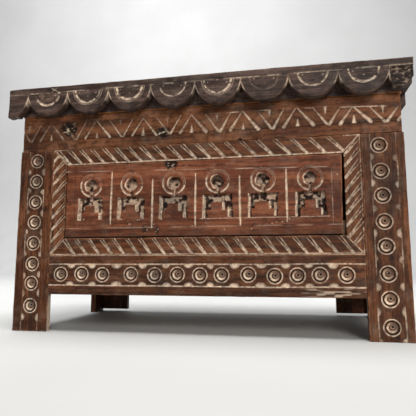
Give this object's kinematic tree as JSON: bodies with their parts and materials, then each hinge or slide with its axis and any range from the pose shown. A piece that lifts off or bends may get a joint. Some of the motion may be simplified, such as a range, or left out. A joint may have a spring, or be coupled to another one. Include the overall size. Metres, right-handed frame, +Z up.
{
  "type": "wooden puzzle chest",
  "caption": "Low carved wooden puzzle chest on plank legs, with a scalloped pin-hinged lid, a flush carved front that is a hidden drawer, and an inner wooden bolt.",
  "frame": {"origin": "on the floor under the middle of the whole chest's box, lid closed", "axes": "+X to the right along the front, +Y from the front to the back, +Z up"},
  "size_m": [0.468, 0.264, 0.293],
  "materials": {
    "carved_wood": "dark aged softwood, chalk in the carving, satin",
    "panel_wood": "reddish aged softwood, chalk in the carving, satin",
    "lid_wood": "greyish dark aged softwood, worn",
    "side_wood": "dark aged softwood, plain",
    "inner_wood": "bare softwood, dusty",
    "peg_wood": "whittled hardwood, rubbed"
  },
  "bodies": {
    "carcass": {"front_post_left": "carved_wood", "front_post_right": "carved_wood", "front_top_rail": "carved_wood", "front_bottom_rail": "carved_wood", "moulding_bottom": "carved_wood", "moulding_right": "carved_wood", "moulding_top": "carved_wood", "moulding_left": "carved_wood", "side_front_stile_left": "carved_wood", "side_front_stile_right": "carved_wood", "side_rear_stile_left": "carved_wood", "side_rear_stile_right": "carved_wood", "side_top_rail_left": "side_wood", "side_top_rail_right": "side_wood", "side_bottom_rail_left": "side_wood", "side_bottom_rail_right": "side_wood", "side_panel_left": "side_wood", "side_panel_right": "side_wood", "back_stile_left": "side_wood", "back_stile_right": "side_wood", "back_plank_lower": "side_wood", "back_plank_upper": "side_wood", "chest_floor": "inner_wood", "till_floor": "inner_wood", "floor_ledger_left": "inner_wood", "floor_ledger_right": "inner_wood", "till_ledger_left": "inner_wood", "till_ledger_right": "inner_wood", "drawer_runner_left": "inner_wood", "drawer_runner_right": "inner_wood", "bolt_guide_left": "inner_wood", "bolt_guide_right": "inner_wood"},
    "drawer": {"drawer_front": "panel_wood", "drawer_side_left": "inner_wood", "drawer_side_right": "inner_wood", "drawer_back": "inner_wood", "drawer_bottom": "inner_wood"},
    "lid": {"lid_front_rail": "lid_wood", "lid_rear_rail": "lid_wood", "lid_board_front": "lid_wood", "lid_board_rear": "lid_wood", "lid_apron": "lid_wood", "lid_keeper": "inner_wood", "lid_end_rail_left": "lid_wood", "lid_end_rail_right": "lid_wood", "lid_cleat_left": "lid_wood", "lid_cleat_right": "lid_wood", "hinge_pin_left": "peg_wood", "hinge_pin_right": "peg_wood"},
    "bolt": {"lock_bolt": "inner_wood", "bolt_handle": "peg_wood"}
  },
  "joints": [
    {"name": "lid_hinge", "type": "hinge", "parent": "carcass", "child": "lid", "pos_m": [0, 0.118, 0.2498], "axis": [-1, 0, 0], "range_deg": [0, 105]},
    {"name": "drawer_slide", "type": "slide", "parent": "carcass", "child": "drawer", "axis": [0, -1, 0], "range_m": [0, 0.15]},
    {"name": "bolt_slide", "type": "slide", "parent": "carcass", "child": "bolt", "axis": [1, 0, 0], "range_m": [0, 0.03]}
  ]
}
